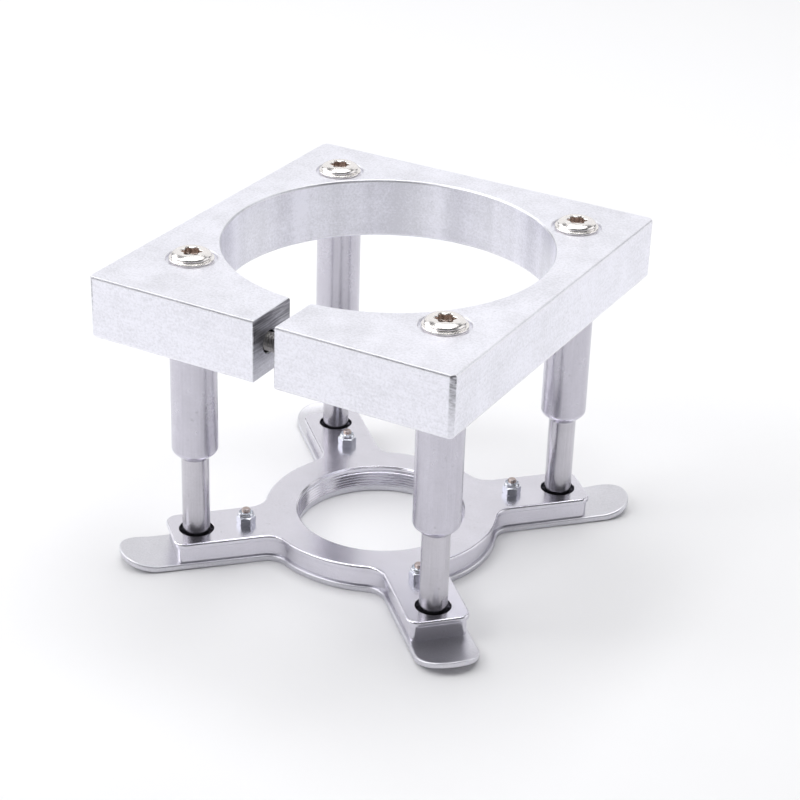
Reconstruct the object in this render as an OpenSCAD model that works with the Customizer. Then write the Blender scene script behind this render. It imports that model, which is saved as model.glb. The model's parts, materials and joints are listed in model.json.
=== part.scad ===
// Split clamp block for a round router spindle, with a spring-loaded presser
// foot that slides on four telescopic legs.
// Frame: the spindle axis is Z, the underside of the foot is Z = 0,
// and the slit of the clamp faces -Y.

/* [Clamp block] */
// Width of the block, along X
block_w = 125; // [122:1:135]
// Depth of the block, along Y
block_d = 137; // [134:1:145]
// Thickness of the block
block_t = 20; // [18:1:24]
// Thickness of the wall between the bore and the front face
front_wall = 20; // [18:0.5:22]
// Diameter of the spindle that the bore holds
spindle_d = 105; // [80:1:105]
// Width of the clamping slit
slit_w = 7; // [4:0.5:8]
// Leg length of the chamfer on the block's upright corners
corner_chamfer = 1.2; // [0.5:0.1:2]
// Leg length of the chamfer on the block's top and bottom edges
edge_chamfer = 0.6; // [0.3:0.1:1]

/* [Pinch screw] */
// Thread diameter of the pinch screw
pinch_d = 6; // [5:1:6]
// Distance from the block's front face to the pinch screw's axis
pinch_setback = 9; // [8:0.5:10]
// Distance from the slit to the seat of the pinch screw's head
pinch_seat = 21.5; // [18:0.5:30]
// Depth that the pinch screw reaches into the tapped half
pinch_grip = 16.5; // [12:0.5:20]

/* [Legs] */
// Distance between two neighbouring leg axes
leg_pitch = 88.5; // [86:0.5:89]
// Outside diameter of a guide tube
tube_d = 15; // [14:0.5:16]
// Inside diameter of a guide tube, where the spring works
tube_bore_d = 12; // [12:0.1:12.5]
// Length of a guide tube below the block
tube_l = 49; // [48:1:56]
// Diameter of a guide rod
rod_d = 9; // [8:0.5:9]
// Length of rod that shows between tube and foot at rest
rod_show = 27; // [24:1:30]
// Turns of a leg's spring
spring_turns = 9; // [7:1:10]
// Wire diameter of a leg's spring
spring_wire = 1.1; // [0.8:0.1:1.1]

/* [Presser foot] */
// Thickness of the cover plate
cover_t = 2; // [1.5:0.1:2.5]
// Thickness of the middle plate
middle_t = 5.5; // [5:0.5:7]
// Thickness of the bottom plate
bottom_t = 2; // [1.9:0.1:2.5]
// Outside diameter of the foot's ring
ring_d = 78; // [74:1:80]
// Bore through the ring, for a screw-in insert
ring_bore_d = 55.6; // [48:0.1:58]
// Width of an arm
arm_w = 20.4; // [20:0.1:22]
// Distance from the spindle axis to the end of an arm
arm_reach = 71.4; // [71:0.1:74]
// Distance from the spindle axis to the tip of a toe
toe_reach = 88; // [86:0.5:92]
// Height that a toe's tip curls up
toe_rise = 3; // [1:0.5:4]
// Step by which the middle plate stands back from its neighbours
middle_inset = 1; // [0.5:0.1:1.2]
// Hole in the cover plate that a rod passes through
rod_hole_d = 11.4; // [11:0.1:12]
// Distance from the spindle axis to a foot bolt
bolt_reach = 46; // [44:0.5:47]

/* [Hidden] */

$fn = 96;
// Overlap of solids that join, and run of a cutter past the face that it cuts
eps = 0.01;
over = 1;

// Angle of each leg about the spindle axis
front_left = 225;
front_right = 315;
back_right = 45;
back_left = 135;
leg_angles = [front_left, front_right, back_right, back_left];

// Heights above the underside of the foot
foot_top = bottom_t + middle_t + cover_t;
tube_bottom = foot_top + rod_show;
block_bottom = tube_bottom + tube_l;
block_top = block_bottom + block_t;

// Block outline
bore_r = spindle_d / 2;
front_y = -bore_r - front_wall;
back_y = front_y + block_d;
bore_chamfer = 0.5;

// Legs
leg_reach = leg_pitch / sqrt(2);
tube_lip = 0.3;
tube_chamfer = (tube_d - rod_d) / 2 - tube_lip;
tube_floor = 6;
slide_gap = 0.05;
plug_l = 8;
plug_bottom = block_bottom - plug_l;
seat_gap = 0.1;
clip_t = 1.2;
clip_slot = 3;
clip_side_gap = 0.1;
clip_bottom = tube_bottom + tube_floor + seat_gap;
rod_tail = 1.6;
rod_top = clip_bottom + clip_t + rod_tail;
groove_depth = 0.6;
rod_flange_d = 12.6;
rod_flange_t = 4;
rod_flange_bottom = bottom_t;
pocket_d = 13.4;

// Leg screws: M6, domed head on a flange, with a six-lobe recess
leg_screw_d = 6;
leg_screw_hole_d = 6.6;
leg_screw_l = 25;
head_flange_d = 14.2;
head_flange_h = 1.5;
head_d = 12.6;
head_edge_h = 2.4;
head_dome_h = 1;
head_flat_d = 8.6;
head_seat = 1;
counterbore_d = 16;
counterbore_chamfer = 0.3;
recess_d = 6.8;
recess_depth = 2.2;
recess_turn = 29;
lobe_d = 1.9;
lobe_root = 0.92;
lobes = 6;

// Pinch screw: M6 cap screw, lying along X
pinch_y = front_y + pinch_setback;
pinch_z = (block_bottom + block_top) / 2;
pinch_hole_d = pinch_d + 1;
pinch_tap_d = pinch_d + 0.12;
pinch_head_d = 10;
pinch_head_h = 6;
pinch_head_edge = 0.5;
pinch_hole_end = 3;
pinch_bore_d = 11.2;
pinch_seat_x = -slit_w / 2 - pinch_seat;
pinch_gap = 0.3;
hex_af = 5;
hex_depth = 3;

// Foot. Blends bite a little into what they meet, so that no two curves just touch
arm_corner_r = 4;
middle_corner_r = 2;
arm_fillet_r = 7;
toe_flat = 0.5;
toe_end_extra = 0.06;
toe_steps = 10;
bite = 0.02;
ring_edge = 0.6;
bolt_d = 3;
bolt_hole_d = 3.3;
bolt_head_d = 5.6;
bolt_head_h = 1.6;
bolt_setback = 0.1;
bolt_tip = 0.3;
bolt_above = 5.3;
bolt_top = foot_top + bolt_above;
bolt_key_af = 2;
bolt_key_depth = 1;
bolt_sink_d = 6.1;
nut_af = 5.5;
nut_hex_h = 2.7;
nut_h = 4;
nut_bevel_base_d = 10.8;
nut_bevel_top_d = 5.1;
nut_collar_d = 5.1;
nut_collar_edge = 0.3;
nut_thread_gap = 0.1;
insert_d = 4.4;
insert_h = 1.1;
insert_top_gap = 0.25;

// Spring
spring_side_gap = 0.25;
spring_mean_r = tube_bore_d / 2 - spring_side_gap - spring_wire / 2;
spring_bottom = clip_bottom + clip_t + seat_gap;
spring_top = plug_bottom - seat_gap;
wire_sides = 6;
steps_per_turn = 12;

silver = [0.86, 0.86, 0.89];
satin = [0.78, 0.78, 0.80];
steel = [0.70, 0.68, 0.68];
stainless = [0.88, 0.85, 0.82];
zinc = [0.74, 0.78, 0.84];
nylon = [0.90, 0.91, 0.95];

// ---------------------------------------------------------------- helpers

// Puts its children on a leg's axis, at a distance from the spindle axis
module at_leg(angle, reach) {
    rotate([0, 0, angle])
        translate([reach, 0, 0])
            children();
}

// Upright cylinder from one height to another
module post(d, z0, z1) {
    translate([0, 0, z0])
        cylinder(d = d, h = z1 - z0);
}

// Upright cone frustum, its diameters given at its lower and upper heights
module frustum(d0, d1, z0, z1) {
    translate([0, 0, z0])
        cylinder(d1 = d0, d2 = d1, h = z1 - z0);
}

// Rectangle with all four corners cut at 45 degrees
module cut_rectangle(x0, x1, y0, y1, c) {
    polygon([
        [x0 + c, y0], [x1 - c, y0], [x1, y0 + c], [x1, y1 - c],
        [x1 - c, y1], [x0 + c, y1], [x0, y1 - c], [x0, y0 + c]
    ]);
}

// Six-lobe socket, as an upright cutter with its mouth at the given height
module six_lobe_cutter(mouth_z, depth) {
    lobe_reach = recess_d / 2 - lobe_d / 2;
    post(2 * lobe_reach * lobe_root, mouth_z - depth, mouth_z + over);
    for (i = [0 : lobes - 1])
        rotate([0, 0, i * 360 / lobes])
            translate([lobe_reach, 0, 0])
                post(lobe_d, mouth_z - depth, mouth_z + over);
}

// ------------------------------------------------------------ clamp block

// Plain block: its plan cut with its front and side outlines
module block_blank() {
    half = block_w / 2;
    intersection() {
        translate([0, 0, block_bottom])
            linear_extrude(block_t)
                cut_rectangle(-half, half, front_y, back_y, corner_chamfer);
        translate([0, back_y + over, 0])
            rotate([90, 0, 0])
                linear_extrude(block_d + 2 * over)
                    cut_rectangle(-half, half, block_bottom, block_top, edge_chamfer);
        rotate([90, 0, 90])
            linear_extrude(block_w + 2 * over, center = true)
                cut_rectangle(front_y, back_y, block_bottom, block_top, edge_chamfer);
    }
}

// Spindle bore with broken edges
module spindle_bore() {
    post(spindle_d, block_bottom - over, block_top + over);
    mouth_d = spindle_d + 2 * (bore_chamfer + eps);
    frustum(spindle_d, mouth_d, block_top - bore_chamfer, block_top + eps);
    frustum(mouth_d, spindle_d, block_bottom - eps, block_bottom + bore_chamfer);
}

// Stepped hole for the pinch screw: head counterbore, clearance, then the tapped half
module pinch_hole() {
    translate([0, pinch_y, pinch_z])
        rotate([0, 90, 0]) {
            post(pinch_bore_d, -block_w / 2 - over, pinch_seat_x);
            post(pinch_hole_d, pinch_seat_x - eps, 0);
            post(pinch_tap_d, 0, slit_w / 2 + pinch_grip + pinch_hole_end);
        }
}

module clamp_block() {
    color(silver)
        difference() {
            block_blank();
            spindle_bore();
            translate([-slit_w / 2, front_y - over, block_bottom - over])
                cube([slit_w, front_wall + bore_r / 2, block_t + 2 * over]);
            pinch_hole();
            for (a = leg_angles)
                at_leg(a, leg_reach) {
                    post(leg_screw_hole_d, block_bottom - over, block_top);
                    post(counterbore_d, block_top - head_seat, block_top + over);
                    frustum(counterbore_d, counterbore_d + 2 * (counterbore_chamfer + eps),
                            block_top - counterbore_chamfer, block_top + eps);
                }
        }
}

// Cap screw across the slit, its head towards -X
module pinch_screw() {
    seat = pinch_seat_x - pinch_gap;
    head_end = seat - pinch_head_h;
    edge = pinch_head_edge;
    color(stainless)
        translate([0, pinch_y, pinch_z])
            rotate([0, 90, 0])
                difference() {
                    union() {
                        frustum(pinch_head_d - 2 * edge, pinch_head_d, head_end, head_end + edge);
                        post(pinch_head_d, head_end + edge, seat);
                        post(pinch_d, seat - eps, slit_w / 2 + pinch_grip);
                    }
                    translate([0, 0, head_end - over])
                        cylinder(d = hex_af / cos(30), h = hex_depth + over, $fn = 6);
                }
}

// ------------------------------------------------------------------- legs

// Flanged screw that hangs a leg under the block; its recess is turned to the same side on every leg
module leg_screw(angle) {
    seat = block_top - head_seat;
    flange_top = seat + head_flange_h;
    edge_top = seat + head_edge_h;
    dome_top = edge_top + head_dome_h;
    color(stainless)
        at_leg(angle, leg_reach)
            difference() {
                union() {
                    post(head_flange_d, seat, flange_top);
                    post(head_d, flange_top - eps, edge_top);
                    frustum(head_d, head_flat_d, edge_top - eps, dome_top);
                    post(leg_screw_d, seat - leg_screw_l, seat + eps);
                }
                rotate([0, 0, recess_turn - angle])
                    six_lobe_cutter(dome_top, recess_depth);
            }
}

// Tube that hides the spring; its lower end closes in around the rod
module guide_tube(angle) {
    color(satin)
        at_leg(angle, leg_reach)
            rotate_extrude()
                difference() {
                    polygon([
                        [rod_d / 2 + slide_gap, tube_bottom],
                        [tube_d / 2 - tube_chamfer, tube_bottom],
                        [tube_d / 2, tube_bottom + tube_chamfer],
                        [tube_d / 2, block_bottom],
                        [rod_d / 2 + slide_gap, block_bottom]
                    ]);
                    translate([0, tube_bottom + tube_floor])
                        square([tube_bore_d / 2, tube_l]);
                }
}

// Threaded plug in the tube's upper end, which the leg screw pulls against the block
module tube_plug(angle) {
    color(satin)
        at_leg(angle, leg_reach)
            difference() {
                post(tube_bore_d, plug_bottom, block_bottom);
                post(leg_screw_d, plug_bottom - over, block_bottom + over);
            }
}

// Rod with the flange that the foot holds, and a groove for its clip
module guide_rod(angle) {
    color(steel)
        at_leg(angle, leg_reach)
            rotate_extrude()
                difference() {
                    union() {
                        translate([0, rod_flange_bottom])
                            square([rod_flange_d / 2, rod_flange_t]);
                        translate([0, rod_flange_bottom])
                            square([rod_d / 2, rod_top - rod_flange_bottom]);
                    }
                    translate([rod_d / 2 - groove_depth, clip_bottom])
                        square([groove_depth + over, clip_t]);
                }
}

// Ring clip that stops the rod on the tube's floor and carries the spring
module rod_clip(angle) {
    color(steel)
        at_leg(angle, leg_reach)
            difference() {
                post(tube_bore_d - 2 * clip_side_gap, clip_bottom + eps, clip_bottom + clip_t - eps);
                post(rod_d - 2 * groove_depth, clip_bottom - over, clip_bottom + clip_t + over);
                translate([0, -clip_slot / 2, clip_bottom - over])
                    cube([tube_bore_d, clip_slot, clip_t + 2 * over]);
            }
}

// Point on the spring's wire: turn t along the coil, side k around the wire
function spring_point(t, k) =
    let (
        a = 360 * t,
        s = 360 * k / wire_sides,
        r = spring_mean_r + spring_wire / 2 * cos(s),
        rise = (spring_top - spring_bottom - spring_wire) * t / spring_turns
    )
    [r * cos(a), r * sin(a), spring_bottom + spring_wire / 2 + rise + spring_wire / 2 * sin(s)];

// Compression spring, swept ring by ring along its helix
module spring(angle) {
    rings = spring_turns * steps_per_turn;
    points = [for (i = [0 : rings]) for (k = [0 : wire_sides - 1])
        spring_point(i / steps_per_turn, k)];
    sides = [for (i = [0 : rings - 1]) for (k = [0 : wire_sides - 1])
        let (n = (k + 1) % wire_sides, a = i * wire_sides, b = a + wire_sides)
        [a + k, b + k, b + n, a + n]];
    first_cap = [[for (k = [0 : wire_sides - 1]) k]];
    last_cap = [[for (k = [wire_sides - 1 : -1 : 0]) rings * wire_sides + k]];
    color(steel)
        at_leg(angle, leg_reach)
            polyhedron(points, concat(sides, first_cap, last_cap));
}

// ------------------------------------------------------------ presser foot

// Arm in plan with its two round corners, along +X from the spindle axis
module arm_plan(half_w, reach, corner_r) {
    translate([0, -half_w])
        square([reach - corner_r, 2 * half_w]);
    translate([0, corner_r - half_w])
        square([reach, 2 * (half_w - corner_r)]);
    for (side = [-1, 1])
        translate([reach - corner_r, side * (half_w - corner_r)])
            circle(r = corner_r + bite / 2);
}

// Hollow corners that blend an arm into the ring, one on each side of the arm
module arm_fillets(half_w, ring_r, fillet_r) {
    across = half_w + fillet_r - bite;
    centre_r = ring_r + fillet_r - bite;
    along = sqrt(pow(centre_r, 2) - pow(across, 2));
    touch = ring_r / centre_r;
    for (flip = [0, 1])
        mirror([0, flip])
            difference() {
                polygon([[0, 0], [along, 0], [along, across], [along * touch, across * touch]]);
                translate([along, across])
                    circle(r = fillet_r);
            }
}

// Ring in plan with the hollow corners of its four arms
module hub_plan(inset) {
    ring_r = ring_d / 2 - inset;
    circle(r = ring_r);
    for (a = leg_angles)
        rotate(a)
            arm_fillets(arm_w / 2 - inset, ring_r, arm_fillet_r + inset);
}

// Ring with four arms in plan, drawn smaller by an inset
module star_plan(inset, corner_r) {
    hub_plan(inset);
    for (a = leg_angles)
        rotate(a)
            arm_plan(arm_w / 2 - inset, arm_reach - inset, corner_r);
}

// Holes that every plate has: the ring's bore and the four foot bolts
module plate_holes(z0, z1) {
    post(ring_bore_d, z0 - over, z1 + over);
    for (a = leg_angles)
        at_leg(a, bolt_reach)
            post(bolt_hole_d, z0 - over, z1 + over);
}

module cover_plate() {
    z0 = bottom_t + middle_t;
    color(silver)
        difference() {
            translate([0, 0, z0])
                linear_extrude(cover_t)
                    star_plan(0, arm_corner_r);
            plate_holes(z0, foot_top);
            frustum(ring_bore_d, ring_bore_d + 2 * (ring_edge + eps), foot_top - ring_edge, foot_top + eps);
            for (a = leg_angles)
                at_leg(a, leg_reach)
                    post(rod_hole_d, z0 - over, foot_top + over);
        }
}

module middle_plate() {
    z1 = bottom_t + middle_t;
    color(silver)
        difference() {
            translate([0, 0, bottom_t])
                linear_extrude(middle_t)
                    star_plan(middle_inset, middle_corner_r);
            plate_holes(bottom_t, z1);
            for (a = leg_angles)
                at_leg(a, leg_reach)
                    post(pocket_d, bottom_t - over, z1 + over);
        }
}

// Side outline of a bottom arm: flat to its bend, then rising as the square of the distance
module toe_side() {
    bend = arm_reach + toe_flat;
    run = toe_reach - bend;
    sole = [for (i = [0 : toe_steps])
        [bend + run * i / toe_steps, toe_rise * pow(i / toe_steps, 2)]];
    upper = [for (i = [toe_steps : -1 : 0])
        [sole[i].x, sole[i].y + bottom_t]];
    polygon(concat([[0, 0]], sole, upper, [[0, bottom_t]]));
}

// Bottom arm in plan: straight sides and a round end
module toe_plan() {
    half_w = arm_w / 2;
    end_r = half_w + toe_end_extra;
    intersection() {
        translate([0, -half_w])
            square([toe_reach + over, arm_w]);
        union() {
            translate([0, -half_w - over])
                square([toe_reach - end_r, arm_w + 2 * over]);
            translate([toe_reach - end_r, 0])
                circle(r = end_r);
        }
    }
}

// Bottom arm with its upturned toe
module toe() {
    intersection() {
        translate([0, 0, -over])
            linear_extrude(toe_rise + bottom_t + 2 * over)
                toe_plan();
        rotate([90, 0, 0])
            linear_extrude(arm_w + 2 * over, center = true)
                toe_side();
    }
}

module bottom_plate() {
    color(silver)
        difference() {
            union() {
                linear_extrude(bottom_t)
                    hub_plan(0);
                for (a = leg_angles)
                    rotate([0, 0, a])
                        toe();
            }
            plate_holes(0, bottom_t);
            for (a = leg_angles)
                at_leg(a, bolt_reach)
                    frustum(bolt_sink_d, bolt_hole_d - 2 * eps, -eps, bolt_head_h - bolt_setback);
        }
}

// Countersunk bolt from below, flush with the sole
module foot_bolt(angle) {
    color(zinc)
        at_leg(angle, bolt_reach)
            difference() {
                union() {
                    frustum(bolt_head_d, bolt_d, bolt_setback, bolt_head_h - bolt_setback);
                    post(bolt_d, bolt_head_h - bolt_setback - eps, bolt_top - bolt_tip);
                    frustum(bolt_d, bolt_d - 2 * bolt_tip, bolt_top - bolt_tip - eps, bolt_top);
                }
                translate([0, 0, -over])
                    cylinder(d = bolt_key_af / cos(30), h = bolt_key_depth + over, $fn = 6);
            }
}

// Lock nut: hexagon with chamfered corners below a round collar
module foot_nut(angle) {
    hex_d = nut_af / cos(30);
    hex_top = foot_top + nut_hex_h;
    nut_top = foot_top + nut_h;
    edge = nut_collar_edge;
    color(zinc)
        at_leg(angle, bolt_reach)
            difference() {
                union() {
                    intersection() {
                        translate([0, 0, foot_top])
                            cylinder(d = hex_d, h = nut_hex_h, $fn = 6);
                        frustum(nut_bevel_base_d, nut_bevel_top_d, foot_top, hex_top + edge);
                    }
                    post(nut_collar_d, hex_top - edge, nut_top - edge);
                    frustum(nut_collar_d, nut_collar_d - 2 * edge, nut_top - edge - eps, nut_top);
                }
                post(bolt_d + nut_thread_gap, foot_top - over, nut_top + over);
                post(insert_d, nut_top - insert_top_gap - insert_h, nut_top + over);
            }
}

// Nylon ring pressed into the nut's collar
module nut_insert(angle) {
    z1 = foot_top + nut_h - insert_top_gap;
    color(nylon)
        at_leg(angle, bolt_reach)
            difference() {
                post(insert_d, z1 - insert_h, z1);
                post(bolt_d, z1 - insert_h - over, z1 + over);
            }
}

// ------------------------------------------------------------------ output

clamp_block();
pinch_screw();
leg_screw(front_left);  // leg_screw_front_left
leg_screw(front_right);  // leg_screw_front_right
leg_screw(back_right);  // leg_screw_back_right
leg_screw(back_left);  // leg_screw_back_left
guide_tube(front_left);  // guide_tube_front_left
guide_tube(front_right);  // guide_tube_front_right
guide_tube(back_right);  // guide_tube_back_right
guide_tube(back_left);  // guide_tube_back_left
tube_plug(front_left);  // tube_plug_front_left
tube_plug(front_right);  // tube_plug_front_right
tube_plug(back_right);  // tube_plug_back_right
tube_plug(back_left);  // tube_plug_back_left
spring(front_left);  // spring_front_left
spring(front_right);  // spring_front_right
spring(back_right);  // spring_back_right
spring(back_left);  // spring_back_left
guide_rod(front_left);  // guide_rod_front_left
guide_rod(front_right);  // guide_rod_front_right
guide_rod(back_right);  // guide_rod_back_right
guide_rod(back_left);  // guide_rod_back_left
rod_clip(front_left);  // rod_clip_front_left
rod_clip(front_right);  // rod_clip_front_right
rod_clip(back_right);  // rod_clip_back_right
rod_clip(back_left);  // rod_clip_back_left
cover_plate();
middle_plate();
bottom_plate();
foot_bolt(front_left);  // foot_bolt_front_left
foot_bolt(front_right);  // foot_bolt_front_right
foot_bolt(back_right);  // foot_bolt_back_right
foot_bolt(back_left);  // foot_bolt_back_left
foot_nut(front_left);  // foot_nut_front_left
foot_nut(front_right);  // foot_nut_front_right
foot_nut(back_right);  // foot_nut_back_right
foot_nut(back_left);  // foot_nut_back_left
nut_insert(front_left);  // nut_insert_front_left
nut_insert(front_right);  // nut_insert_front_right
nut_insert(back_right);  // nut_insert_back_right
nut_insert(back_left);  // nut_insert_back_left
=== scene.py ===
"""Looks of a spindle clamp with a sprung presser foot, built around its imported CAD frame."""

import json
import math

import bmesh
import bpy
import numpy as np
from mathutils import Matrix, Vector, geometry

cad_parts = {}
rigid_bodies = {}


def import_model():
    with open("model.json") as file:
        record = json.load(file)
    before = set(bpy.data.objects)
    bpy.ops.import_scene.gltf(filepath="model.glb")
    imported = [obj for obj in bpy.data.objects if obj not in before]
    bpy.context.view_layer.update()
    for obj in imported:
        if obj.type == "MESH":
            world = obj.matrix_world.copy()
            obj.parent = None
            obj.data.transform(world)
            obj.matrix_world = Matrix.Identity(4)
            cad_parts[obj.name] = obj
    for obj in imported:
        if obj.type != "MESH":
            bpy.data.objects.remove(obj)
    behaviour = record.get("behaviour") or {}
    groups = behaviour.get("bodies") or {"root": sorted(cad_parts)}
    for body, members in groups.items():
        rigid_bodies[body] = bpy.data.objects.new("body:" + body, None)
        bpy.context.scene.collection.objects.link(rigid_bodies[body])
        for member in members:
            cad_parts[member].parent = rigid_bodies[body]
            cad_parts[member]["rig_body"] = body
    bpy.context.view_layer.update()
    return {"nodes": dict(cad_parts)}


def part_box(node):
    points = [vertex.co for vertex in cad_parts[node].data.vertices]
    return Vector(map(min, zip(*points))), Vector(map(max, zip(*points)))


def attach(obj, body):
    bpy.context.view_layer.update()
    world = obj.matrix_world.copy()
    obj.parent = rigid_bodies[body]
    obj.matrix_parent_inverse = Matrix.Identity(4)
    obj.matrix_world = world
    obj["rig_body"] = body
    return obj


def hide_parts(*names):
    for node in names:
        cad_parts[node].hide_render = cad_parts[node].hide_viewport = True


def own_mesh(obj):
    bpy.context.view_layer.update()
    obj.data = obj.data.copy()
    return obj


bl_info = {
    "name": "Spindle Clamp Looks",
    "version": (1, 0, 0),
    "blender": (4, 5, 0),
    "location": "3D View > Sidebar > Spindle Clamp",
    "description": "Builds the finished pieces, metals and studio of a spindle clamp with a presser foot",
    "category": "Object",
}

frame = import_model()

MM = 0.001
WELD = 2e-7
TURN = 2 * math.pi
HOLE_GUARD = 0.35 * MM
M6_RADIUS = 3 * MM
TOE_POWER = 2.2
TOE_BASE = 0.6 * MM
LEGS = ("front_left", "front_right", "back_right", "back_left")
# Place, width and height in metres, and brightness.
SOFT_BOXES = {
    "back_box": ((-0.55, 1.30, 0.75), 2.6, 1.5, 0.80),
    "top_box": ((0.0, 0.10, 1.20), 1.0, 1.0, 3.0),
    "left_box": ((-1.30, -0.30, 0.60), 1.4, 1.2, 1.5),
    "front_box": ((-0.70, -0.80, 1.20), 0.8, 0.8, 3.0),
    "right_box": ((1.20, 0.80, 0.50), 1.2, 1.0, 1.0),
}


def lowest(node):
    """Height of a CAD node's lowest point."""
    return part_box(node)[0].z


def highest(node):
    """Height of a CAD node's highest point."""
    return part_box(node)[1].z


def plan_middle(node):
    """Middle of a CAD node seen from above."""
    low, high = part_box(node)
    return (low.x + high.x) / 2, (low.y + high.y) / 2


# ------------------------------------------------------------------ settings


def length(label, about, metres):
    """A length that the user can change."""
    return bpy.props.FloatProperty(name=label, description=about, default=metres, min=0, precision=5,
                                   subtype="DISTANCE", unit="LENGTH")


def angle(label, about, degrees):
    """An angle that the user can change."""
    return bpy.props.FloatProperty(name=label, description=about, default=math.radians(degrees),
                                   subtype="ANGLE", unit="ROTATION")


def colour(label, about, rgb):
    """A colour that the user can change."""
    return bpy.props.FloatVectorProperty(name=label, description=about, default=rgb, size=3,
                                         min=0, max=1, subtype="COLOR")


class ClampSizes(bpy.types.PropertyGroup):
    """Sizes of the clamp block and its screws"""

    bore: length("Bore", "Radius of the spindle bore", 52.5 * MM)
    slit: length("Slit", "Width of the clamping slit", 7 * MM)
    corner: length("Corner", "Leg of the chamfer on the upright corners", 1.2 * MM)
    edge: length("Edge", "Leg of the chamfer on the long edges", 0.6 * MM)
    counterbore: length("Counterbore", "Radius of the recess round a leg screw's head", 8 * MM)
    seat: length("Seat", "Depth of the recess round a leg screw's head", 1 * MM)
    screw_hole: length("Screw hole", "Radius of a leg screw's hole", 3.3 * MM)
    pinch_hole: length("Pinch hole", "Radius of the clearance hole for the pinch screw", 3.5 * MM)
    pinch_tap: length("Pinch thread", "Radius of the tapped hole for the pinch screw", 3.06 * MM)
    pinch_bore: length("Pinch counterbore", "Radius of the hole that the key goes down", 5.6 * MM)
    pinch_seat: length("Pinch seat", "Distance from the slit to the pinch screw's seat", 21.5 * MM)
    pinch_depth: length("Pinch depth", "Depth of the tapped hole behind the slit", 19.5 * MM)
    flange: length("Flange", "Height of a leg screw's flange", 1.5 * MM)
    dome: length("Dome", "Radius of a leg screw's dome", 6.3 * MM)
    crown: length("Crown", "Radius of the flat on a leg screw's dome", 4.2 * MM)
    recess: length("Recess", "Mean radius of a leg screw's six-lobe recess", 2.95 * MM)
    lobe: length("Lobe", "How far the lobes of the recess reach out and in", 0.45 * MM)
    recess_depth: length("Recess depth", "Depth of the six-lobe recess", 2.2 * MM)
    recess_turn: angle("Recess turn", "Direction of the recess's first lobe", 29)
    pitch: length("Pitch", "Pitch of the pinch screw's thread", 1 * MM)


class LegSizes(bpy.types.PropertyGroup):
    """Sizes of the four telescopic legs"""

    rod: length("Rod", "Radius of a guide rod", 4.5 * MM)
    slide: length("Sliding gap", "Gap between a rod and its tube", 0.05 * MM)
    chamber: length("Chamber", "Inside radius of a guide tube", 6 * MM)
    floor: length("Floor", "Thickness of a guide tube's lower end", 6 * MM)
    chamfer: length("Chamfer", "Leg of the chamfer on a tube's lower end", 2.7 * MM)
    flange: length("Flange", "Thickness of the flange under a rod", 4 * MM)
    groove: length("Groove", "Depth of the groove for a rod's clip", 0.6 * MM)
    wire: length("Wire", "Diameter of a spring's wire", 1.1 * MM)
    turns: bpy.props.IntProperty(name="Turns", description="Turns of a spring", default=9, min=3)
    squeezed: length("Squeezed spring", "Length of a spring at the end of the foot's travel", 13.5 * MM)


class FootSizes(bpy.types.PropertyGroup):
    """Sizes of the presser foot"""

    ring: length("Ring", "Outer radius of the ring", 39 * MM)
    bore: length("Ring bore", "Radius of the ring's bore, at the root of its thread", 27.8 * MM)
    thread: length("Thread", "Depth of the ring's thread", 0.35 * MM)
    pitch: length("Pitch", "Pitch of the ring's thread", 1 * MM)
    arm: length("Arm", "Half the width of an arm", 10.2 * MM)
    reach: length("Reach", "Distance from the spindle axis to an arm's end", 71.4 * MM)
    toe: length("Toe", "Distance from the spindle axis to a toe's tip", 88 * MM)
    bend: length("Bend", "Distance from the spindle axis to where a toe starts to rise", 71.9 * MM)
    rise: length("Rise", "Height that a toe's tip curls up", 3 * MM)
    blend: length("Blend", "Radius of the hollow between an arm and the ring", 7 * MM)
    corner: length("Corner", "Radius of an arm's end corners", 4 * MM)
    step: length("Step", "How far the middle plate stands back", 1 * MM)
    rod_hole: length("Rod hole", "Radius of the hole round a rod", 5.7 * MM)
    pocket: length("Pocket", "Radius of the pocket for a rod's flange", 6.7 * MM)
    bolt_hole: length("Bolt hole", "Radius of a bolt's hole", 1.65 * MM)
    bolt: length("Bolt", "Radius of a bolt", 1.5 * MM)


class MetalColours(bpy.types.PropertyGroup):
    """Base colours of the metals"""

    block: colour("Block", "Milled aluminium of the clamp block", (0.88, 0.88, 0.945))
    tube: colour("Tube", "Turned aluminium of the guide tubes", (0.60, 0.585, 0.65))
    plate: colour("Plate", "Aluminium of the cover and middle plates", (0.75, 0.735, 0.80))
    sheet: colour("Sheet", "Steel of the bottom plate", (0.72, 0.715, 0.76))
    rod: colour("Rod", "Ground steel of the rods", (0.60, 0.585, 0.63))
    screw: colour("Screw", "Stainless steel of the screws", (0.90, 0.87, 0.85))
    zinc: colour("Zinc", "Zinc plate of the bolts and nuts", (0.78, 0.80, 0.86))
    spring: colour("Spring", "Drawn wire of the springs", (0.50, 0.50, 0.52))
    nylon: colour("Nylon", "Nylon of the nut inserts", (0.80, 0.84, 0.92))
    # Painted shade: the near-black colour laid into the clamp slit and onto the filed upright corners of the
    # block.
    painted_shade: colour("Grime", "Dark film in recesses and filed corners", (0.09, 0.085, 0.10))
    film: colour("Film", "Brown film in the screws' recesses", (0.42, 0.30, 0.24))


class StudioSettings(bpy.types.PropertyGroup):
    """Camera, floor and lights"""

    azimuth: angle("Azimuth", "Direction of the camera round the object, from the front", 28.686)
    elevation: angle("Elevation", "Height of the camera's view line above the horizon", 28.725)
    roll: angle("Roll", "Turn of the camera about its view line", 1.876)
    place: bpy.props.FloatVectorProperty(name="Place", description="Place of the camera", size=3,
                                         default=(0.30608, -0.54902, 0.37159), subtype="XYZ", unit="LENGTH")
    lens: bpy.props.FloatProperty(name="Lens", description="Focal length, in mm", default=97.42, min=1)
    shift: bpy.props.FloatVectorProperty(name="Shift", description="Shift of the lens, in picture widths",
                                         size=2, default=(0.0035, 0.0766))
    floor: colour("Floor", "Colour of the floor", (0.93, 0.93, 0.94))
    sky: bpy.props.FloatProperty(name="Sky", description="Strength of light from all round", default=0.15)


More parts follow.
